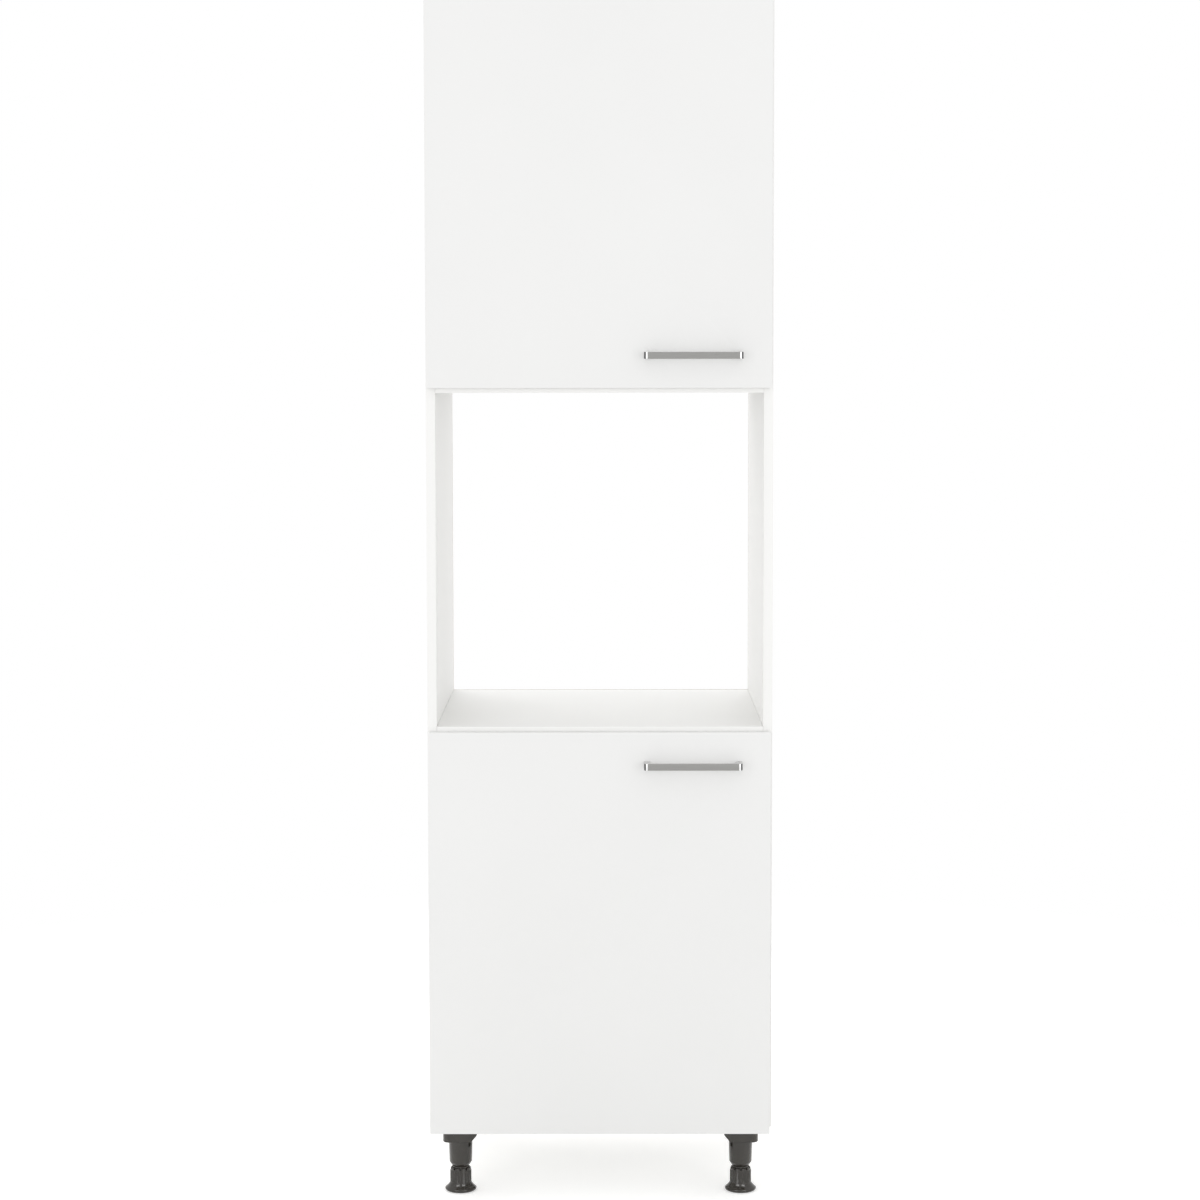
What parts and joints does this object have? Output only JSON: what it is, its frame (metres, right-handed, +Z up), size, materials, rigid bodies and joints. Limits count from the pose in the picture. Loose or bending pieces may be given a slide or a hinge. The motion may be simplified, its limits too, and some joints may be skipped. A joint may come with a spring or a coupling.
{
  "type": "tall oven housing unit",
  "caption": "Tall white kitchen cabinet with an open oven niche between two slab doors, bow handles, concealed hinges and adjustable plastic legs.",
  "frame": {"origin": "on the floor, under the middle of the unit's bounding box", "axes": "+X to the right seen from the front, the doors face -Y, +Z up"},
  "size_m": [0.6, 0.601, 2.09],
  "materials": {
    "carcass_board": "white melamine-faced particle board, satin",
    "back_board": "thin white-lacquered fibreboard",
    "door_board": "white faced board with white edge banding, satin",
    "handle_metal": "brushed along its length",
    "hinge_steel": "nickel-plated pressed steel",
    "fitting_steel": "zinc-plated steel",
    "leg_plastic": "dark grey moulded plastic, satin",
    "bumper_plastic": "soft translucent white plastic"
  },
  "bodies": {
    "carcass": {"side_panel_left": "carcass_board", "side_panel_right": "carcass_board", "top_panel": "carcass_board", "niche_ceiling_panel": "carcass_board", "niche_floor_panel": "carcass_board", "bottom_panel": "carcass_board", "shelf_upper": "carcass_board", "shelf_lower": "carcass_board", "back_panel_upper": "back_board", "back_panel_lower": "back_board", "shelf_pin_upper_left_front": "fitting_steel", "shelf_pin_upper_left_rear": "fitting_steel", "shelf_pin_upper_right_front": "fitting_steel", "shelf_pin_upper_right_rear": "fitting_steel", "shelf_pin_lower_left_front": "fitting_steel", "shelf_pin_lower_left_rear": "fitting_steel", "shelf_pin_lower_right_front": "fitting_steel", "shelf_pin_lower_right_rear": "fitting_steel", "wall_bracket_left": "fitting_steel", "wall_bracket_right": "fitting_steel", "hinge_arm_upper_bottom": "hinge_steel", "hinge_plate_upper_bottom": "hinge_steel", "hinge_arm_upper_top": "hinge_steel", "hinge_plate_upper_top": "hinge_steel", "hinge_arm_lower_bottom": "hinge_steel", "hinge_plate_lower_bottom": "hinge_steel", "hinge_arm_lower_top": "hinge_steel", "hinge_plate_lower_top": "hinge_steel", "leg_socket_front_left": "leg_plastic", "leg_socket_front_right": "leg_plastic", "leg_socket_rear_left": "leg_plastic", "leg_socket_rear_right": "leg_plastic"},
    "upper_door": {"upper_door": "door_board", "upper_handle": "handle_metal", "upper_handle_screw_left": "fitting_steel", "upper_handle_screw_right": "fitting_steel", "upper_bumper_bottom": "bumper_plastic", "upper_bumper_top": "bumper_plastic", "hinge_cup_upper_bottom": "hinge_steel", "hinge_cup_upper_top": "hinge_steel"},
    "upper_outer_links": {"hinge_outer_link_upper_bottom": "hinge_steel", "hinge_outer_link_upper_top": "hinge_steel"},
    "upper_inner_links": {"hinge_inner_link_upper_bottom": "hinge_steel", "hinge_inner_link_upper_top": "hinge_steel"},
    "lower_door": {"lower_door": "door_board", "lower_handle": "handle_metal", "lower_handle_screw_left": "fitting_steel", "lower_handle_screw_right": "fitting_steel", "lower_bumper_bottom": "bumper_plastic", "lower_bumper_top": "bumper_plastic", "hinge_cup_lower_bottom": "hinge_steel", "hinge_cup_lower_top": "hinge_steel"},
    "lower_outer_links": {"hinge_outer_link_lower_bottom": "hinge_steel", "hinge_outer_link_lower_top": "hinge_steel"},
    "lower_inner_links": {"hinge_inner_link_lower_bottom": "hinge_steel", "hinge_inner_link_lower_top": "hinge_steel"},
    "foot_front_left": {"leg_foot_front_left": "leg_plastic"},
    "foot_front_right": {"leg_foot_front_right": "leg_plastic"},
    "foot_rear_left": {"leg_foot_rear_left": "leg_plastic"},
    "foot_rear_right": {"leg_foot_rear_right": "leg_plastic"}
  },
  "joints": [
    {"name": "upper_outer_link_pivot", "type": "hinge", "parent": "carcass", "child": "upper_outer_links", "pos_m": [-0.264, -0.2465, 1.7585], "axis": [0, 0, 1], "range_deg": [0, 25.5]},
    {"name": "upper_door_hinge", "type": "hinge", "parent": "upper_outer_links", "child": "upper_door", "pos_m": [-0.2885, -0.2575, 1.7585], "axis": [0, 0, -1], "range_deg": [0, 119], "stiffness_Nm_per_rad": 0.6, "springref_deg": -40.11},
    {"name": "upper_inner_link_pivot", "type": "hinge", "parent": "carcass", "child": "upper_inner_links", "pos_m": [-0.2772, -0.2465, 1.7585], "axis": [0, 0, 1], "range_deg": [0, 14.3]},
    {"name": "lower_outer_link_pivot", "type": "hinge", "parent": "carcass", "child": "lower_outer_links", "pos_m": [-0.264, -0.2465, 0.476], "axis": [0, 0, 1], "range_deg": [0, 25.5]},
    {"name": "lower_door_hinge", "type": "hinge", "parent": "lower_outer_links", "child": "lower_door", "pos_m": [-0.2885, -0.2575, 0.476], "axis": [0, 0, -1], "range_deg": [0, 119], "stiffness_Nm_per_rad": 0.6, "springref_deg": -40.11},
    {"name": "lower_inner_link_pivot", "type": "hinge", "parent": "carcass", "child": "lower_inner_links", "pos_m": [-0.2772, -0.2465, 0.476], "axis": [0, 0, 1], "range_deg": [0, 14.3]},
    {"name": "foot_front_left_screw", "type": "slide", "parent": "carcass", "child": "foot_front_left", "axis": [0, 0, -1], "range_m": [0, 0.025]},
    {"name": "foot_front_right_screw", "type": "slide", "parent": "carcass", "child": "foot_front_right", "axis": [0, 0, -1], "range_m": [0, 0.025]},
    {"name": "foot_rear_left_screw", "type": "slide", "parent": "carcass", "child": "foot_rear_left", "axis": [0, 0, -1], "range_m": [0, 0.025]},
    {"name": "foot_rear_right_screw", "type": "slide", "parent": "carcass", "child": "foot_rear_right", "axis": [0, 0, -1], "range_m": [0, 0.025]}
  ],
  "couplings": [
    {"joint": "upper_outer_link_pivot", "follows": "upper_door_hinge", "ratio": 0.2126},
    {"joint": "upper_inner_link_pivot", "follows": "upper_door_hinge", "ratio": 0.11811},
    {"joint": "lower_outer_link_pivot", "follows": "lower_door_hinge", "ratio": 0.2126},
    {"joint": "lower_inner_link_pivot", "follows": "lower_door_hinge", "ratio": 0.11811}
  ]
}
